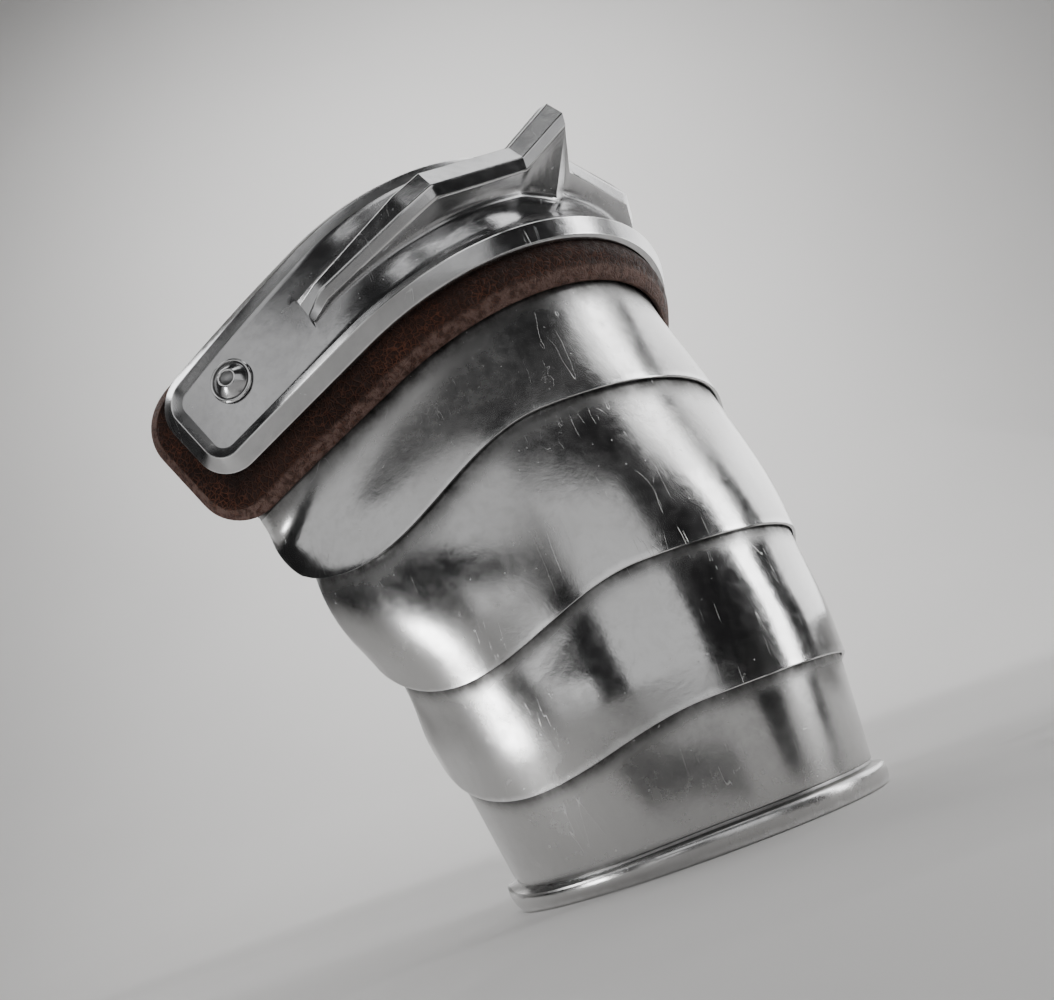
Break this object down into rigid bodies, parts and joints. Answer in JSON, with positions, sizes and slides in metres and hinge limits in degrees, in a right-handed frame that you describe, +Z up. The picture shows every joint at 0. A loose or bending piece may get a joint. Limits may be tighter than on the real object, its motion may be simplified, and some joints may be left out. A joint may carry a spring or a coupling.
{
  "type": "pauldron",
  "caption": "Shoulder armour of overlapping steel lames that narrow to a rolled cuff, under a padded leather collar and a crested, riveted shoulder band.",
  "frame": {"origin": "on the floor, under the middle of the box round the whole object", "axes": "+Z up along the arm from the cuff to the shoulder, +X to the outer side of the arm, -X the open side, -Y front"},
  "size_m": [0.1618, 0.2568, 0.2936],
  "materials": {
    "lame_steel": "polished and worn, with smudges and fine scratches",
    "band_steel": "polished and worn, bright along its edges",
    "rivet_steel": "polished, dark in the middle",
    "leather": "dark brown, crackled, lighter on its bevelled edge"
  },
  "bodies": {
    "root": {"lame_1": "lame_steel", "lame_2": "lame_steel", "lame_3": "lame_steel", "lame_4_cuff": "lame_steel", "leather_collar": "leather", "shoulder_band": "band_steel", "rivet_front": "rivet_steel", "rivet_back": "rivet_steel"}
  },
  "joints": []
}
